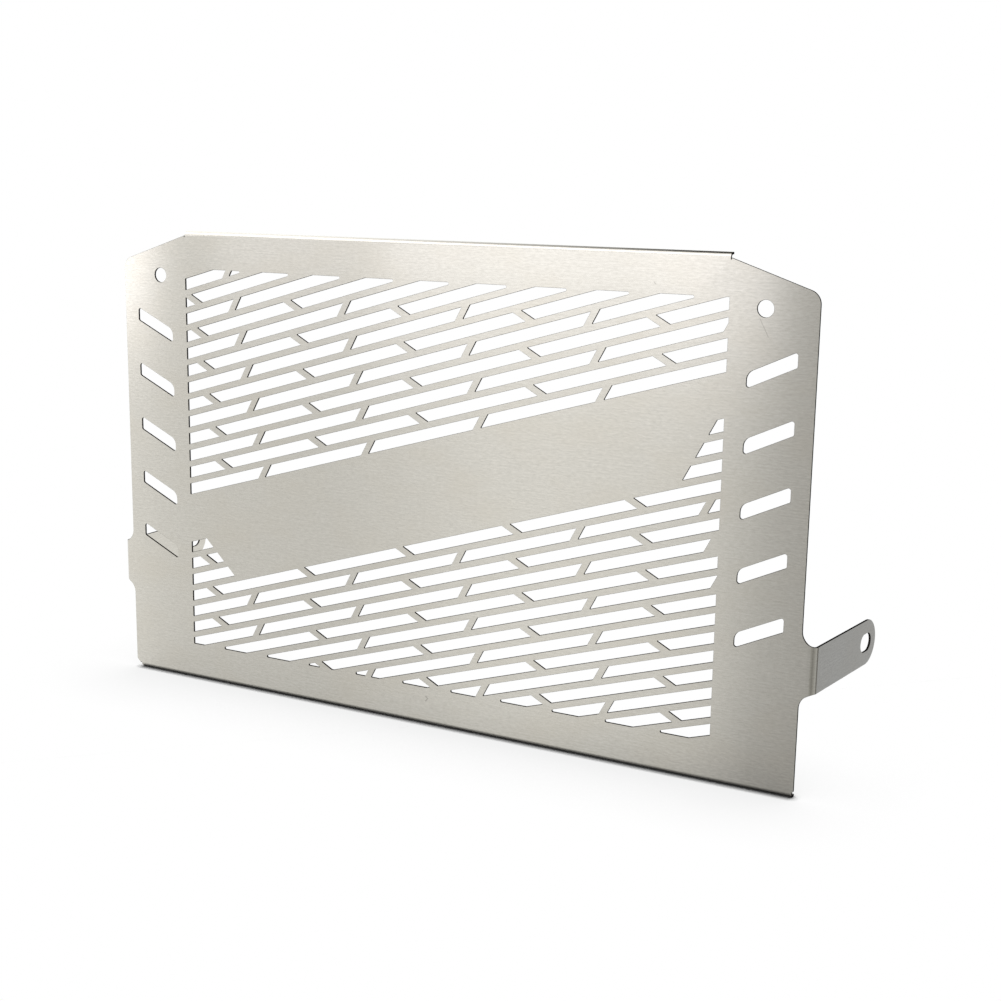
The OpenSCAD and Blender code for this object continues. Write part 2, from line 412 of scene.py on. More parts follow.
@dataclass(frozen=True)
class Fold:
    """One fold line, and how the metal past it turns back.

    Attributes:
        outward: direction of the flange on the flat blank, along X or Z.
        line: distance of the fold line from the origin, in that direction.
        middle: middle of the flange along the fold line.
        half_width: half of the strip that folds, along the fold line.
        inside: inside radius of the fold.
        angle: how far the flange turns, in degrees.
    """

    outward: Place
    line: float
    middle: float
    half_width: float
    inside: float
    angle: float

    def arc(self, thickness: float) -> float:
        """Length of the bend on the blank, measured at mid thickness."""
        return (self.inside + thickness / 2) * math.radians(self.angle)


@dataclass
class FoldingTool:
    """The Geometry Nodes tree that folds the flat blank along its fold lines."""

    thickness: float
    folds: dict[FoldName, Fold]
    brushed: bpy.types.Material
    cut: bpy.types.Material

    SIZES = ("Fold line", "Middle", "Half width", "Inside radius", "Sheet", "Angle")

    def fold_group(self) -> Tree:
        """Builds the group that makes one fold.

        Returns:
            A group that moves every vertex past the fold line round the bend, and on along the
            flange. A vertex keeps its depth in the sheet.
        """
        tree = bpy.data.node_groups.new("fold_one_flange", "GeometryNodeTree")
        face = tree.interface
        face.new_socket("Geometry", in_out="INPUT", socket_type="NodeSocketGeometry")
        for name in ("Outward", "Across"):
            face.new_socket(name, in_out="INPUT", socket_type="NodeSocketVector")
        for name in self.SIZES:
            face.new_socket(name, in_out="INPUT", socket_type="NodeSocketFloat")
        face.new_socket("Geometry", in_out="OUTPUT", socket_type="NodeSocketGeometry")
        given = add_node(tree, "NodeGroupInput").outputs

        calc, vector = partial(number_sum, tree), partial(vector_sum, tree)
        place = add_node(tree, "GeometryNodeInputPosition").outputs[0]

        def along(direction: Socket) -> Socket:
            """How far a vertex is along a direction."""
            return vector("DOT_PRODUCT", {0: place, 1: direction}, "Value")

        past = calc("SUBTRACT", along(given["Outward"]), given["Fold line"])
        aside = calc("ABSOLUTE", calc("SUBTRACT", along(given["Across"]), given["Middle"]))
        in_strip = calc("LESS_THAN", aside, given["Half width"])
        folds = calc("MULTIPLY", in_strip, calc("GREATER_THAN", past, 0.0))
        depth = add_node(tree, "ShaderNodeSeparateXYZ", {0: place}).outputs["Y"]
        outer = calc("ADD", given["Inside radius"], given["Sheet"])
        neutral = calc("ADD", given["Inside radius"], calc("MULTIPLY", given["Sheet"], 0.5))
        turn = calc("MINIMUM", calc("DIVIDE", past, neutral), given["Angle"])
        arc = calc("MULTIPLY", neutral, given["Angle"])
        straight = calc("MAXIMUM", calc("SUBTRACT", past, arc), 0.0)
        radius = calc("SUBTRACT", outer, depth)
        reach = calc(
            "ADD",
            calc("MULTIPLY", radius, calc("SINE", turn)),
            calc("MULTIPLY", straight, calc("COSINE", given["Angle"])),
        )
        back = calc(
            "ADD",
            calc("SUBTRACT", outer, calc("MULTIPLY", radius, calc("COSINE", turn))),
            calc("MULTIPLY", straight, calc("SINE", given["Angle"])),
        )
        outwards = vector("SCALE", {0: given["Outward"], "Scale": calc("SUBTRACT", reach, past)})
        backwards = add_node(tree, "ShaderNodeCombineXYZ", {"Y": calc("SUBTRACT", back, depth)})
        shift = vector("ADD", {0: outwards, 1: backwards.outputs[0]})
        moved = add_node(
            tree,
            "GeometryNodeSetPosition",
            {"Geometry": given["Geometry"], "Selection": folds, "Offset": shift},
        ).outputs[0]
        add_node(tree, "NodeGroupOutput", {"Geometry": moved})
        return tree

    def tree(self) -> Tree:
        """Builds the tree that makes the four folds and sets the two finishes."""
        group = self.fold_group()
        tree = bpy.data.node_groups.new("fold_the_blank", "GeometryNodeTree")
        face = tree.interface
        face.new_socket("Geometry", in_out="INPUT", socket_type="NodeSocketGeometry")
        for fold in self.folds:
            for size in ("line", "inside radius", "angle"):
                name = f"{fold.value} {size}"
                face.new_socket(name, in_out="INPUT", socket_type="NodeSocketFloat")
        face.new_socket("Sheet", in_out="INPUT", socket_type="NodeSocketFloat")
        face.new_socket("Geometry", in_out="OUTPUT", socket_type="NodeSocketGeometry")
        given = add_node(tree, "NodeGroupInput").outputs
        sheet = given["Geometry"]
        for name, fold in self.folds.items():
            across = (0.0, 0.0, 1.0) if fold.outward[0] else (1.0, 0.0, 0.0)
            values = {
                "Geometry": sheet,
                "Outward": fold.outward,
                "Across": across,
                "Fold line": given[f"{name.value} line"],
                "Middle": fold.middle * MM,
                "Half width": fold.half_width * MM,
                "Inside radius": given[f"{name.value} inside radius"],
                "Sheet": given["Sheet"],
                "Angle": given[f"{name.value} angle"],
            }
            step = add_node(tree, "GeometryNodeGroup", values, node_tree=group)
            sheet = step.outputs["Geometry"]
        real = add_node(tree, "GeometryNodeRealizeInstances", {"Geometry": sheet}).outputs[0]
        faced = add_node(
            tree, "GeometryNodeSetMaterial", {"Geometry": real, "Material": self.brushed}
        ).outputs[0]
        flag = add_node(
            tree, "GeometryNodeInputNamedAttribute", {"Name": CUT_FLAG}, data_type="BOOLEAN"
        )
        flagged = next(o for o in flag.outputs if o.enabled and o.type == "BOOLEAN")
        edged = add_node(
            tree,
            "GeometryNodeSetMaterial",
            {"Geometry": faced, "Selection": flagged, "Material": self.cut},
        ).outputs[0]
        add_node(tree, "NodeGroupOutput", {"Geometry": edged})
        return tree

    def fold(self, blank: bpy.types.Object, name: str) -> bpy.types.Object:
        """Folds the blank and turns the result into a plain mesh.

        Args:
            blank: the flat blank.
            name: name of the folded piece.

        Returns:
            The folded piece, with no modifier left.
        """
        tree = self.tree()
        modifier = blank.modifiers.new("fold_the_blank", "NODES")
        modifier.node_group = tree
        sizes = {"Sheet": self.thickness * MM}
        for fold_name, fold in self.folds.items():
            sizes[f"{fold_name.value} line"] = fold.line * MM
            sizes[f"{fold_name.value} inside radius"] = fold.inside * MM
            sizes[f"{fold_name.value} angle"] = math.radians(fold.angle)
        for item in tree.interface.items_tree:
            if item.in_out == "INPUT" and item.name in sizes:
                modifier[item.identifier] = sizes[item.name]
        bpy.context.view_layer.update()
        graph = bpy.context.evaluated_depsgraph_get()
        mesh = bpy.data.meshes.new_from_object(blank.evaluated_get(graph), depsgraph=graph)
        bpy.data.objects.remove(blank)
        mesh.name = name
        return add_object(name, mesh)


@dataclass
class GuardSheet:
    """The whole guard: a plate with a slotted window, two folded lips and two folded tabs."""

    thickness: float = 1.0
    plate_width: float = 349.4
    fold_rise: float = 19.0
    fold_drop: float = 198.3
    shoulder_width: float = 275.0
    shoulder_slope: float = 18.7
    shoulder_radius: float = 6.0
    lip_depth: float = 3.5
    lip_radius: float = 1.5
    bottom_lip_left: float = -172.0
    bottom_lip_right: float = 174.0
    relief: float = 0.3
    past_fold: float = 0.3
    corner_cut: float = 2.0
    hole_diameter: float = 7.0
    hole_span: float = 305.0
    side_slots: int = 5
    side_pitch: float = 27.0
    side_first: float = 24.2
    side_length: float = 20.8
    side_height: float = 6.25
    side_slope: float = 25.0
    side_edge: float = 8.0
    side_radii: tuple[float, ...] = (1.0, 1.0, 1.0, 4.6)
    window_margin: float = 10.0
    tab_width: float = 20.0
    tab_length: float = 60.0
    tab_drop: float = 145.2
    tab_neck: float = 2.3
    tab_radius: float = 3.0
    # On the flat blank, where the fillet runs on into the bend
    tab_root: float = 6.3
    tab_spare: float = 1.0
    right_splay: float = 7.3
    left_splay: float = 0.0
    oblong_width: float = 8.0
    oblong_length: float = 11.0
    oblong_in: float = 10.5
    # The laser rounds the corners of the window's slots, and stays short of the thinnest tips
    cut_radius: float = 0.15
    tip_radius: float = 0.6
    tip_angle: float = 25.0
    # The melt leaves every edge a little rounded, and as dark as the cut
    broken_edge: float = 0.11
    bend_steps: int = 10
    # On the UV map the back lies apart, so that it has lines of its own and no scuffs
    back_shift: float = 1000.0
    folds: dict[FoldName, Fold] = field(default_factory=dict)

    def __post_init__(self) -> None:
        """Works out the four folds from the sizes."""
        lip_half = self.shoulder_width / 2 - self.relief
        bottom_half = (self.bottom_lip_right - self.bottom_lip_left) / 2
        tab_line = self.plate_width / 2 + self.tab_neck
        tab_half = self.tab_width / 2 + self.tab_root + self.tab_spare
        self.folds = {
            FoldName.TOP_LIP: Fold(
                (0, 0, 1), self.fold_rise, 0, lip_half + self.relief / 2, self.lip_radius, 90
            ),
            FoldName.BOTTOM_LIP: Fold(
                (0, 0, -1),
                self.fold_drop,
                (self.bottom_lip_left + self.bottom_lip_right) / 2,
                bottom_half + self.relief / 2,
                self.lip_radius,
                90,
            ),
            FoldName.RIGHT_TAB: Fold(
                (1, 0, 0), tab_line, -self.tab_drop, tab_half, self.tab_radius, 90 - self.right_splay
            ),
            FoldName.LEFT_TAB: Fold(
                (-1, 0, 0), tab_line, -self.tab_drop, tab_half, self.tab_radius, 90 - self.left_splay
            ),
        }

    # The flat blank

    def bend_places(self, name: FoldName) -> list[float]:
        """Distances past a fold line at which the blank has a row of vertices."""
        arc = self.folds[name].arc(self.thickness)
        return [arc * k / self.bend_steps for k in range(self.bend_steps + 1)]

    def tab_side(self, name: FoldName) -> list[Point]:
        """Upper half of a tab on the blank.

        Args:
            name: which tab.

        Returns:
            (distance from the blank's middle, height above the tab's middle), from the edge of
            the plate to the tip.
        """
        fold = self.folds[name]
        edge, root = self.plate_width / 2, self.tab_root
        arc_end = fold.line + fold.arc(self.thickness)
        places = [edge + root * (1 - math.cos(math.radians(a))) for a in range(0, 91, 9)]
        places += [fold.line + s for s in self.bend_places(name)]
        side = []
        for u in sorted(set(round(p, 4) for p in places)):
            rise = math.sqrt(max(root**2 - (edge + root - u) ** 2, 0)) if u < edge + root else root
            side.append((u, self.tab_width / 2 + root - rise))
        tip = arc_end + self.tab_length - self.tab_width / 2
        for a in range(90, -1, -6):
            turn = math.radians(a)
            reach, rise = self.tab_width / 2 * math.cos(turn), self.tab_width / 2 * math.sin(turn)
            side.append((tip + reach, rise))
        return side

    def outline(self) -> np.ndarray:
        """The outer edge of the blank, anticlockwise from its lower left corner."""
        half = self.plate_width / 2
        low, top = -self.fold_drop, self.fold_rise + self.past_fold
        shoulder = self.shoulder_width / 2
        drop = (half - shoulder) * math.tan(math.radians(self.shoulder_slope))
        flange = self.lip_depth - self.lip_radius - self.thickness
        bottom = self.bend_places(FoldName.BOTTOM_LIP)
        above = self.bend_places(FoldName.TOP_LIP)
        left, right = self.bottom_lip_left, self.bottom_lip_right
        points: list[Point] = [
            (-half, low + self.corner_cut - self.past_fold),
            (-half + self.corner_cut, low - self.past_fold),
            (left - self.relief, low - self.past_fold),
            (left - self.relief, low),
        ]
        points += [(left, low - s) for s in bottom] + [(left, low - bottom[-1] - flange)]
        points += [(right, low - bottom[-1] - flange)] + [(right, low - s) for s in bottom[::-1]]
        points.append((half, low + 2 * self.relief))
        side, middle = self.tab_side(FoldName.RIGHT_TAB), -self.tab_drop
        points += [(u, middle - w) for u, w in side] + [(u, middle + w) for u, w in side[-2::-1]]
        corner = rounded_loop(
            [(half, middle), (half, top - drop), (shoulder, top)],
            [0, self.shoulder_radius, 0],
            5.0,
        )[1:-1]
        points += [tuple(p) for p in corner]
        lip_half = shoulder - self.relief
        slit = self.fold_rise - self.relief
        points += [(shoulder, top), (shoulder, slit), (lip_half, slit)]
        points += [(lip_half, self.fold_rise + s) for s in above]
        points.append((lip_half, self.fold_rise + above[-1] + flange))
        upper = [(-u, w) for u, w in points[-(len(above) + 4 + len(corner)) :][::-1]]
        points += upper
        side = self.tab_side(FoldName.LEFT_TAB)
        points += [(-u, middle + w) for u, w in side] + [(-u, middle - w) for u, w in side[-2::-1]]
        return np.array(points)

    def side_slot_loops(self) -> list[np.ndarray]:
        """The slanted slots beside the window."""
        rise = self.side_length / 2 * math.tan(math.radians(self.side_slope))
        run, tall = self.side_length / 2, self.side_height / 2
        corners = [(-run, -rise - tall), (run, rise - tall), (run, rise + tall), (-run, tall - rise)]
        shape = rounded_loop(corners, list(self.side_radii), 9.0)
        middle = self.plate_width / 2 - self.side_edge - run
        loops = []
        for i in range(self.side_slots):
            placed = shape + (middle, -self.side_first - i * self.side_pitch)
            loops += [placed, placed * (-1, 1)]
        return loops

    def round_loops(self) -> list[np.ndarray]:
        """The two upper holes and the oblong holes of the tabs."""
        turn = np.radians(np.arange(0, 360, 5))
        ring = np.stack([np.cos(turn), np.sin(turn)], 1)
        loops = [ring * self.hole_diameter / 2 + (s * self.hole_span / 2, 0) for s in (-1, 1)]
        half = (self.oblong_length - self.oblong_width) / 2
        slot = ring * self.oblong_width / 2 + np.sign(np.round(ring[:, :1], 6)) * (half, 0)
        for name, sign in ((FoldName.RIGHT_TAB, 1), (FoldName.LEFT_TAB, -1)):
            fold = self.folds[name]
            middle = fold.line + fold.arc(self.thickness) + self.tab_length - self.oblong_in
            loops.append(slot + (sign * middle, -self.tab_drop))
        return loops

    def window_loops(self, node: bpy.types.Object) -> list[np.ndarray]:
        """The slots of the window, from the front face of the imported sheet.

        Args:
            node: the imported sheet.

        Returns:
            One loop for each slot, its corners rounded by the laser.
        """
        merged = bmesh.new()
        merged.from_mesh(node.data)
        bmesh.ops.remove_doubles(merged, verts=merged.verts, dist=SAME_PLACE)
        front = {
            face
            for face in merged.faces
            if face.normal.y < -0.999 and all(abs(v.co.y) < SAME_PLACE for v in face.verts)
        }
        rim: dict[int, list[int]] = {}
        for edge in merged.edges:
            if sum(face in front for face in edge.link_faces) == 1:
                a, b = (v.index for v in edge.verts)
                rim.setdefault(a, []).append(b)
                rim.setdefault(b, []).append(a)
        merged.verts.ensure_lookup_table()
        place = {i: (merged.verts[i].co.x / MM, merged.verts[i].co.z / MM) for i in rim}
        merged.free()
        loops, left = [], set(rim)
        while left:
            chain = [min(left)]
            while True:
                left.discard(chain[-1])
                ahead = [i for i in rim[chain[-1]] if i in left]
                if not ahead:
                    break
                chain.append(ahead[0])
            loops.append(np.array([place[i] for i in chain]))
        slots = []
        for loop in loops:
            # The outline is too wide to be a slot, and holes and side slots lie farther out
            size, middle = np.ptp(loop, 0), loop.mean(0)
            inside = self.hole_span / 2 - self.window_margin
            if size[0] < self.plate_width / 2 and abs(middle[0]) < inside:
                corners = self.straightened(loop)
                slots.append(rounded_loop(corners, self.corner_radii(corners), 20.0))
        return slots

    def corner_radii(self, corners: np.ndarray) -> list[float]:
        """The radius that the laser leaves in each corner of a slot."""
        radii = []
        for i in range(len(corners)):
            back, ahead = corners[i - 1] - corners[i], corners[(i + 1) % len(corners)] - corners[i]
            cosine = back @ ahead / (np.linalg.norm(back) * np.linalg.norm(ahead))
            thin = math.degrees(math.acos(float(np.clip(cosine, -1, 1)))) < self.tip_angle
            radii.append(self.tip_radius if thin else self.cut_radius)
        return radii

    @staticmethod
    def straightened(loop: np.ndarray) -> np.ndarray:
        """Takes out the points of a loop that lie on a straight side."""
        keep = []
        for i in range(len(loop)):
            a, b = loop[i] - loop[i - 1], loop[(i + 1) % len(loop)] - loop[i]
            turn = abs(a[0] * b[1] - a[1] * b[0]) / (np.linalg.norm(a) * np.linalg.norm(b))
            if turn > CORNER_SINE:
                keep.append(loop[i])
        return np.array(keep)

    def bend_edges(self, outline: np.ndarray) -> list[tuple[int, int]]:
        """Pairs of outline points that face each other across a bend, where the blank creases."""
        pairs = []
        for name, fold in self.folds.items():
            axis = 0 if fold.outward[0] else 1
            sign = fold.outward[0] + fold.outward[2]
            past = outline[:, axis] * sign - fold.line
            aside = np.abs(outline[:, 1 - axis] - fold.middle)
            for s in self.bend_places(name):
                hits = np.flatnonzero((np.abs(past - s) < ON_LINE) & (aside < fold.half_width))
                order = hits[np.argsort(outline[hits, 1 - axis])]
                pairs.append((int(order[0]), int(order[-1])))
        return pairs

    def flat_blank(self, node: bpy.types.Object) -> bpy.types.Object:
        """Cuts the blank out of flat sheet.

        Args:
            node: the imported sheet, for the slots of its window.

        Returns:
            A closed solid with its edges broken, lying on the plane of the front face.
        """
        outline = turned(self.outline(), clockwise=False)
        holes = self.window_loops(node) + self.side_slot_loops() + self.round_loops()
        loops = [outline] + [turned(h, clockwise=True) for h in holes]
        log.info("blank: %d openings", len(holes))
        rim = np.concatenate(loops)
        inner_loops = [moved_in(loop, self.broken_edge) for loop in loops]
        inner = np.concatenate(inner_loops)
        starts = np.cumsum([0] + [len(loop) for loop in loops])
        edges = [
            (a + i, a + (i + 1) % (b - a))
            for a, b in zip(starts[:-1], starts[1:])
            for i in range(b - a)
        ]
        edges += self.bend_edges(outline)
        found = delaunay_2d_cdt([Vector(p) for p in inner], edges, [], 1, 1e-7)
        if len(found[0]) != len(inner):
            raise ValueError(f"the blank's outlines cross: {len(found[0])} points, not {len(inner)}")
        triangles = self.metal_only(np.array(found[2]), inner, inner_loops)
        return self.solid(rim, inner, triangles, starts)

    @staticmethod
    def metal_only(triangles: np.ndarray, points: np.ndarray, loops: list[np.ndarray]) -> np.ndarray:
        """Keeps the triangles that lie on metal, all anticlockwise.

        Args:
            triangles: three point numbers each.
            points: the points.
            loops: the outline, then each opening.

        Returns:
            The triangles that are inside the outline and outside every opening.
        """
        middle = points[triangles].mean(1)
        inside = []
        for loop in loops:
            a, b = loop, np.roll(loop, -1, 0)
            rows = []
            for p in np.array_split(middle, max(1, len(middle) // POINTS_AT_ONCE)):
                spans = (a[None, :, 1] > p[:, None, 1]) != (b[None, :, 1] > p[:, None, 1])
                slope = (b[:, 0] - a[:, 0]) / np.where(b[:, 1] == a[:, 1], 1, b[:, 1] - a[:, 1])
                cross = a[None, :, 0] + (p[:, None, 1] - a[None, :, 1]) * slope[None, :]
                rows.append((spans & (p[:, None, 0] < cross)).sum(1) % 2 == 1)
            inside.append(np.concatenate(rows))
        kept = triangles[inside[0] & ~np.any(inside[1:], axis=0)]
        u = points[kept[:, 1]] - points[kept[:, 0]]
        v = points[kept[:, 2]] - points[kept[:, 0]]
        backwards = u[:, 0] * v[:, 1] - u[:, 1] * v[:, 0] < 0
        kept[backwards] = kept[backwards][:, ::-1]
        return kept

    def solid(
        self, rim: np.ndarray, inner: np.ndarray, triangles: np.ndarray, starts: np.ndarray
    ) -> bpy.types.Object:
        """Gives the flat blank its thickness and its broken edges.

        Args:
            rim: every outline as cut.
            inner: the same outlines, moved into the metal by the broken edge.
            triangles: the flat face, on the inner outlines.
            starts: first point of each outline.

        Returns:
            The solid blank, with its flat coordinates as a UV map and its cut faces flagged.
        """
        count, edge, deep, shift = len(rim), self.broken_edge, self.thickness, self.back_shift
        rings = ((inner, 0.0), (rim, edge), (rim, deep - edge), (inner, deep))
        places = [(x * MM, d * MM, z * MM) for ring, d in rings for x, z in ring]
        faces = [tuple(int(i) for i in t) for t in triangles]
        faces += [tuple(int(i) + 3 * count for i in t[::-1]) for t in triangles]
        flat = [[tuple(inner[i]) for i in t] for t in triangles]
        flat += [[(inner[i][0] + shift, inner[i][1]) for i in t[::-1]] for t in triangles]
        cut = [False] * len(faces)
        for a, b in zip(starts[:-1], starts[1:]):
            steps = np.linalg.norm(np.roll(rim[a:b], -1, 0) - rim[a:b], axis=1)
            run = np.concatenate([[0], np.cumsum(steps)])
            for i in range(b - a):
                here, after = a + i, a + (i + 1) % (b - a)
                for level in range(3):
                    lo, hi = level * count, (level + 1) * count
                    faces.append((here + lo, here + hi, after + hi, after + lo))
                    cut.append(True)
                    near, far = rings[level][1], rings[level + 1][1]
                    left, right = run[i], run[i + 1]
                    flat.append([(left, near), (left, far), (right, far), (right, near)])
        mesh = bpy.data.meshes.new("flat_blank")
        mesh.from_pydata(places, [], faces)
        layer = mesh.uv_layers.new(name=SHEET_MAP)
        values = np.array([c for face in flat for c in face]) * MM
        layer.data.foreach_set("uv", values.astype(np.float32).ravel())
        flags = mesh.attributes.new(CUT_FLAG, "BOOLEAN", "FACE")
        flags.data.foreach_set("value", cut)
        mesh.validate()
        return add_object("flat_blank", mesh)

    def build(self, node: bpy.types.Object) -> bpy.types.Object:
        """Makes the finished guard.

        Args:
            node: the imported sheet.

        Returns:
            The folded, finished piece, at the origin.
        """
        tool = FoldingTool(
            self.thickness, self.folds, BrushedStainless().make(), LaserCutStainless().make()
        )
        piece = tool.fold(self.flat_blank(node), "folded_guard_sheet")
        mesh = piece.data
        if CUT_FLAG in mesh.attributes:
            mesh.attributes.remove(mesh.attributes[CUT_FLAG])
        mesh.polygons.foreach_set("use_smooth", [True] * len(mesh.polygons))
        mesh.set_sharp_from_angle(angle=math.radians(SHARP_ANGLE))
        mesh.update()
        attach(piece, "root")
        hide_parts("guard_sheet")
        return piece


# The studio


@dataclass(frozen=True)
class SoftLamp:
    """One rectangular soft box that looks at a point. Its light is a trace cooler than the paper."""

    name: str
    place: Place
    target: Place
    width: float
    height: float
    power: float
    colour: str = "#F9F7FF"

    def build(self) -> None:
        """Adds the lamp."""
        data = bpy.data.lights.new(self.name, "AREA")
        data.shape, data.size, data.size_y = "RECTANGLE", self.width, self.height
        data.energy, data.color = self.power, linear(self.colour)[:3]
        lamp = add_object(self.name, data)
        lamp.location = self.place
        aim = Vector(self.target) - Vector(self.place)
        lamp.rotation_euler = aim.to_track_quat("-Z", "Y").to_euler()


@dataclass(frozen=True)
class Card:
    """A level card that only reflections see, as a photographer sets beside metal.

    Attributes:
        name: name of the card.
        height: its height in mm.
        corners: X and Y of its corners in mm. The first and last lie on its left side.
        left: grey of its left side.
        right: grey of its right side.
        glow: how strongly it shines. At 1 its greys show as they are written.
    """

    name: str
    height: float
    corners: tuple[Point, ...]
    left: str
    right: str
    glow: float = 1.0

    def build(self) -> None:
        """Adds the card to the stage."""
        mesh = bpy.data.meshes.new(self.name)
        places = [(x * MM, y * MM, self.height * MM) for x, y in self.corners]
        mesh.from_pydata(places, [], [(0, 1, 2, 3)])
        layer = mesh.uv_layers.new(name="across")
        layer.data.foreach_set("uv", (0.0, 0.0, 1.0, 0.0, 1.0, 1.0, 0.0, 1.0))
        material, tree = new_material(self.name)
        across = add_node(tree, "ShaderNodeUVMap", uv_map="across").outputs["UV"]
        share = add_node(tree, "ShaderNodeSeparateXYZ", {0: across}).outputs["X"]
        grey = blended(tree, share, linear(self.left), linear(self.right))
        show(tree, add_node(tree, "ShaderNodeEmission", {"Color": grey, "Strength": self.glow}))
        mesh.materials.append(material)
        card = add_object(self.name, mesh)
        card.visible_camera = card.visible_diffuse = card.visible_shadow = False
        card.visible_transmission = False


# The soft boxes stand in front, and their glow lies along the top of the plate
LAMPS = (
    SoftLamp("broad_lamp", (-0.428, -0.871, 0.17), (0.02, 0.0, 0.0), 0.623, 0.6, 0.371),
    SoftLamp("middle_lamp", (-0.394, -0.822, 0.17), (0.03, 0.0, 0.0), 0.266, 0.58, 0.126),
    SoftLamp("key_lamp", (-0.234, -0.959, 0.17), (0.12, 0.0, 0.0), 0.136, 0.6, 0.108),
    SoftLamp("side_lamp", (-0.894, -0.695, 0.17), (-0.17, 0.0, 0.0), 0.22, 0.6, 0.51),
    SoftLamp("overhead_lamp", (-0.6, -0.75, 1.2), (-0.1, 0.0, 0.0), 2.5, 1.0, 8.6),
)

CARDS_HIGH = 620.0  # height of the cards above the guard, in mm
CARDS_LOW = FLOOR_HEIGHT + 0.3  # and of those that lie just above the floor

# The high cards give the top lip its bright and dark lines, the low ones shade the right tab
CARDS = (
    Card(
        "white_card_above",
        CARDS_HIGH,
        ((-2500, 20), (-475, 20), (-2164, 3000), (-4500, 3000)),
        "#FFFFFF",
        "#FFFFFF",
        1.5,
    ),
    Card(
        "graded_card_above",
        CARDS_HIGH,
        ((-475, 20), (-53, 20), (-882, 3000), (-2164, 3000)),
        "#FFFFFF",
        "#3D3C39",
        1.5,
    ),
    Card(
        "dark_card_above",
        CARDS_HIGH,
        ((-53, 20), (700, 20), (700, 3000), (-882, 3000)),
        "#4A4945",
        "#4A4945",
    ),
    Card(
        "grey_card_in_front",
        CARDS_LOW,
        ((320, -263), (439, -148), (257, -43), (221, -77)),
        "#B4B4B1",
        "#8A8986",
    ),
    Card(
        "grey_card_beside",
        CARDS_LOW,
        ((439, -148), (477, 33), (269, 11), (257, -43)),
        "#8A8986",
        "#B4B4B1",
    ),
    Card(
        "dark_card_behind",
        CARDS_LOW,
        ((257, 47), (439, 152), (372, 232), (237, 71)),
        "#8A8986",
        "#5E5D5A",
    ),
    Card(
        "grey_card_behind",
        CARDS_LOW,
        ((200, 50), (236, 71), (488, 371), (200, 460)),
        "#B4B6BA",
        "#B4B6BA",
    ),
)


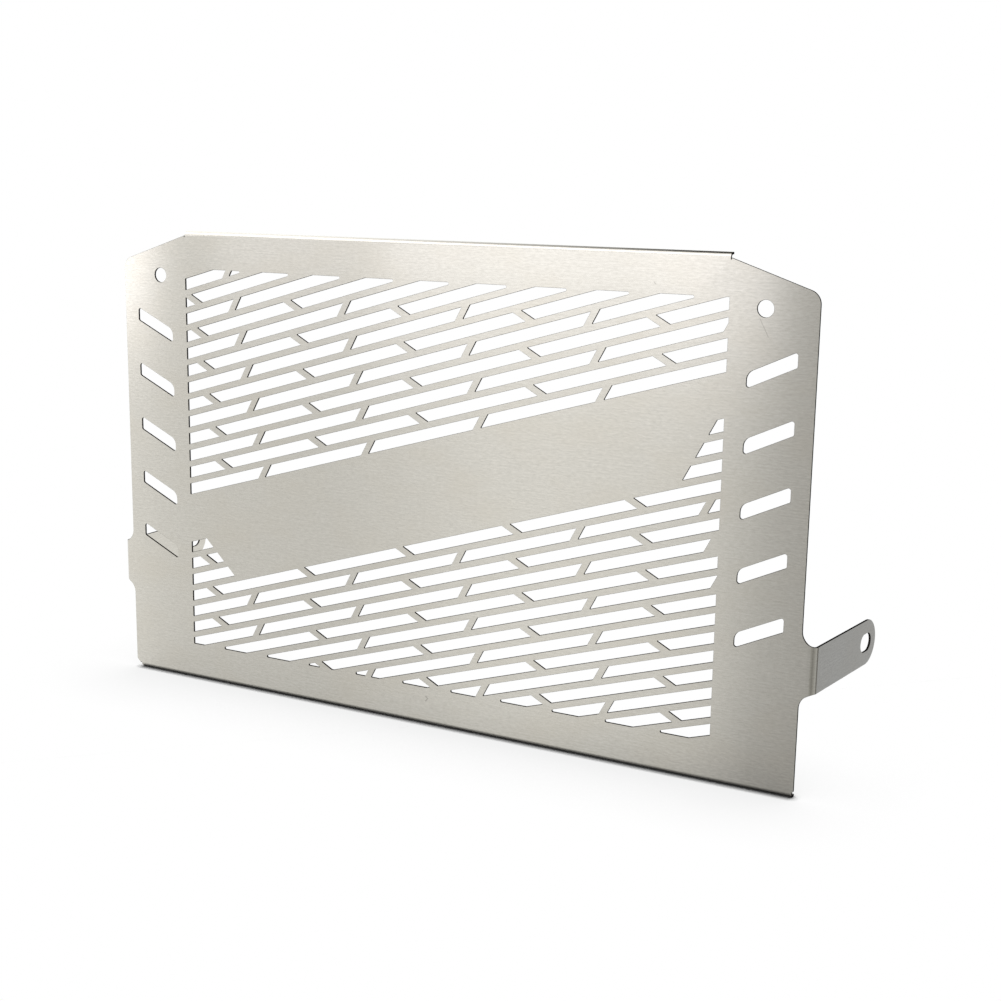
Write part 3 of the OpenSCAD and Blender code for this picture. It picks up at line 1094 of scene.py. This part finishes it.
@dataclass
class Studio:
    """White paper, whose reflections carry painted shade that darkens towards the camera's side, soft
    light, cards and the camera.
    """

    floor_height: float = FLOOR_HEIGHT * MM
    floor_half: float = 30.0
    lens: float = 56.2
    eye: Place = (0.3512, -0.5945, 0.0497)
    right: Place = (0.88161, 0.47171, 0.01591)
    down: Place = (0.1098, -0.17219, -0.97892)
    ahead: Place = (-0.45903, 0.86478, -0.2036)
    world_strength: float = 0.75
    # Reach of each soft shadow on the floor, and how much light is left where it is darkest
    contact_reach: float = 3.7 * MM
    contact_darkest: float = 0.03
    shadow_reach: float = 60.0 * MM
    shadow_darkest: float = 0.85
    # The mirrored shadow deepens from a place at the left to a place at the right
    mirrored_reach: float = 150.0 * MM
    mirrored_from: Point = (-0.05, 0.84)
    mirrored_to: Point = (0.16, 0.6)
    # Painted shade: how white the steel sees the paper, by the angle left of straight ahead, in
    # degrees
    painted_shade_centre: Point = (0.3512, 0.5945)
    painted_shade_table: tuple[Point, ...] = (
        (-180.0, 1.0),
        (-165.0, 0.6),
        (-100.0, 0.5),
        (10.0, 0.5),
        (16.5, 0.53),
        (18.2, 0.62),
        (19.3, 0.76),
        (20.4, 0.87),
        (22.0, 0.93),
        (26.0, 1.0),
        (28.5, 0.98),
        (31.4, 0.89),
        (34.5, 0.82),
        (38.5, 0.85),
        (40.3, 0.88),
        (41.5, 1.0),
    )

    def plain_ray(self, tree: Tree) -> Socket:
        """Says where a ray sees the plain white background: 1 for camera, glossy and clear rays."""
        path = add_node(tree, "ShaderNodeLightPath").outputs
        seen = path["Is Camera Ray"]
        for name in ("Is Glossy Ray", "Is Transmission Ray"):
            seen = number_sum(tree, "MAXIMUM", seen, path[name])
        return seen

    def painted_shade_whiteness(self, tree: Tree, outwards: Socket) -> Socket:
        """Painted shade: how white reflections see the paper or the world in a direction.

        Args:
            tree: the material's or the world's tree.
            outwards: the direction.

        Returns:
            The whiteness, 0 to 1. Rays from the camera keep plain white.
        """
        parts = add_node(tree, "ShaderNodeSeparateXYZ", {0: outwards}).outputs
        forwards = number_sum(tree, "MULTIPLY", parts["Y"], -1.0)
        leftwards = number_sum(tree, "MULTIPLY", parts["X"], -1.0)
        angle = number_sum(tree, "ARCTAN2", leftwards, forwards)
        low, high = self.painted_shade_table[0][0], self.painted_shade_table[-1][0]
        place = stretched(tree, angle, math.radians(low), math.radians(high))
        ramp = add_node(tree, "ShaderNodeValToRGB", {"Fac": place})
        stops = ramp.color_ramp.elements
        while len(stops) < len(self.painted_shade_table):
            stops.new(0.5)
        for stop, (degrees, white) in zip(stops, self.painted_shade_table):
            stop.position = (degrees - low) / (high - low)
            stop.color = (white, white, white, 1.0)
        glossy = add_node(tree, "ShaderNodeLightPath").outputs["Is Glossy Ray"]
        return stretched(tree, glossy, low=1.0, high=ramp.outputs["Color"])

    @staticmethod
    def closeness(tree: Tree, reach: float, darkest: Setting) -> Socket:
        """Soft shadow of what stands near, within a reach: 1 in the open."""
        inputs = {"Distance": reach, "Color": WHITE}
        near = add_node(tree, "ShaderNodeAmbientOcclusion", inputs, samples=4).outputs["AO"]
        return stretched(tree, near, 0.5, low=darkest)

    def floor(self) -> None:
        """Adds the floor: white to the eye, with the guard's soft shadow close to it, and painted
        shade by direction in reflections.
        """
        half, z = self.floor_half, self.floor_height
        mesh = bpy.data.meshes.new("floor")
        corners = [(-half, -half, z), (half, -half, z), (half, half, z), (-half, half, z)]
        mesh.from_pydata(corners, [], [(0, 1, 2, 3)])
        floor = add_object("floor", mesh)
        material, tree = new_material("white_paper")
        times = partial(number_sum, tree, "MULTIPLY")
        glossy = add_node(tree, "ShaderNodeLightPath").outputs["Is Glossy Ray"]
        eye = self.closeness(tree, self.shadow_reach, self.shadow_darkest)
        place = add_node(tree, "ShaderNodeNewGeometry").outputs["Position"]
        rightwards = add_node(tree, "ShaderNodeSeparateXYZ", {0: place}).outputs["X"]
        (start, low), (end, high) = self.mirrored_from, self.mirrored_to
        darkest = stretched(tree, rightwards, start, end, low, high)
        mirrored = self.closeness(tree, self.mirrored_reach, darkest)
        wide = stretched(tree, glossy, low=eye, high=mirrored)
        outwards = vector_sum(tree, "SUBTRACT", {0: place, 1: (*self.painted_shade_centre, 0.0)})
        contact = self.closeness(tree, self.contact_reach, self.contact_darkest)
        shade = times(contact, wide)
        # Painted shade: reflections see the paper darker by direction, times its soft shadows
        white = add_node(
            tree, "ShaderNodeEmission", {"Color": times(shade, self.painted_shade_whiteness(tree, outwards))}
        )
        paper = add_node(tree, "ShaderNodeBsdfDiffuse", {"Color": linear("#F2F1EF")})
        mix = add_node(
            tree,
            "ShaderNodeMixShader",
            {0: self.plain_ray(tree), 1: paper.outputs[0], 2: white.outputs[0]},
        )
        show(tree, mix)
        mesh.materials.append(material)

    def world(self) -> None:
        """Sets soft light from all round, plain white behind the guard, and painted shade by
        direction in reflections.
        """
        world = bpy.data.worlds.new("studio")
        world.use_nodes = True
        tree = world.node_tree
        tree.nodes.clear()
        glow = {"Color": WHITE, "Strength": self.world_strength}
        light = add_node(tree, "ShaderNodeBackground", glow)
        direction = add_node(tree, "ShaderNodeTexCoord").outputs["Generated"]
        # Painted shade: reflections see the world darker by direction
        white = add_node(tree, "ShaderNodeBackground", {"Color": self.painted_shade_whiteness(tree, direction)})
        mix = add_node(
            tree,
            "ShaderNodeMixShader",
            {0: self.plain_ray(tree), 1: light.outputs[0], 2: white.outputs[0]},
        )
        add_node(tree, "ShaderNodeOutputWorld", {"Surface": mix.outputs[0]})
        bpy.context.scene.world = world

    def camera(self) -> None:
        """Adds the camera at the viewing angle of the photo."""
        data = bpy.data.cameras.new("camera")
        data.lens, data.sensor_width, data.sensor_fit = self.lens, 36.0, "HORIZONTAL"
        data.clip_start, data.clip_end = 0.01, 100.0
        camera = add_object("camera", data)
        axes = Matrix((self.right, [-c for c in self.down], [-c for c in self.ahead])).transposed()
        camera.matrix_world = Matrix.Translation(self.eye) @ axes.to_4x4()
        bpy.context.scene.camera = camera

    def build(self) -> None:
        """Sets up floor, light and camera."""
        self.floor()
        self.world()
        for thing in (*LAMPS, *CARDS):
            thing.build()
        self.camera()
        bpy.context.scene.view_settings.view_transform = "Standard"


def main() -> None:
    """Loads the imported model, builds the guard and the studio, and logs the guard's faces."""
    logging.basicConfig(level=logging.INFO, format="%(name)s: %(message)s")
    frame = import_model()
    piece = GuardSheet().build(frame["nodes"]["guard_sheet"])
    log.info("%s: %d faces", piece.name, len(piece.data.polygons))
    Studio().build()


if __name__ == "__main__":
    main()
